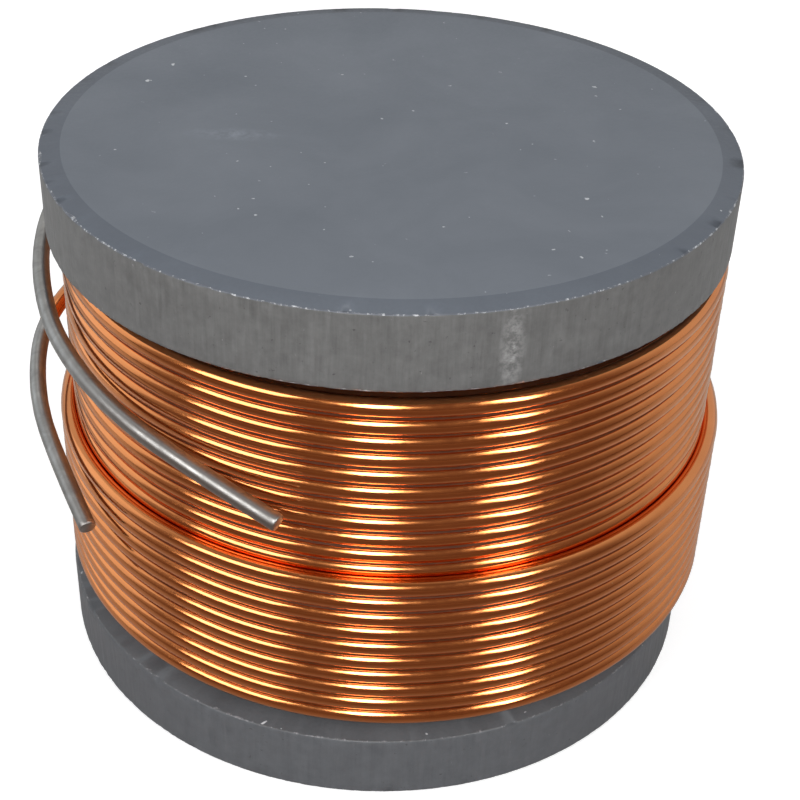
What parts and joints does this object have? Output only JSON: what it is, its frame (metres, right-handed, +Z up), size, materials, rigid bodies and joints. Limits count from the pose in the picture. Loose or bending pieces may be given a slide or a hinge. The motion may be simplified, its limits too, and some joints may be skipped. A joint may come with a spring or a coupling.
{
  "type": "iron core inductor",
  "caption": "Drum-core inductor: iron-powder rod between two glued discs, multilayer enamelled copper winding, two tinned solid-wire leads.",
  "frame": {"origin": "on the core rod's axis, at the height where the lower disc stands", "axes": "+Z up along the rod, from the lower disc to the upper disc; -Y is the front, where the start lead ends"},
  "size_m": [0.0601, 0.0583, 0.0455],
  "materials": {
    "upper_core": "satin blue-grey pressed iron powder",
    "lower_core": "satin dark grey pressed iron powder",
    "rod_core": "satin grey pressed iron powder",
    "adhesive": "cured epoxy",
    "enamelled_copper": "copper under clear amber enamel",
    "tinned_wire": "solder-tinned"
  },
  "bodies": {
    "root": {"lower_disc": "lower_core", "lower_adhesive": "adhesive", "core_rod": "rod_core", "upper_adhesive": "adhesive", "upper_disc": "upper_core", "winding": "enamelled_copper", "start_lead": "tinned_wire", "finish_lead": "tinned_wire"}
  },
  "joints": []
}
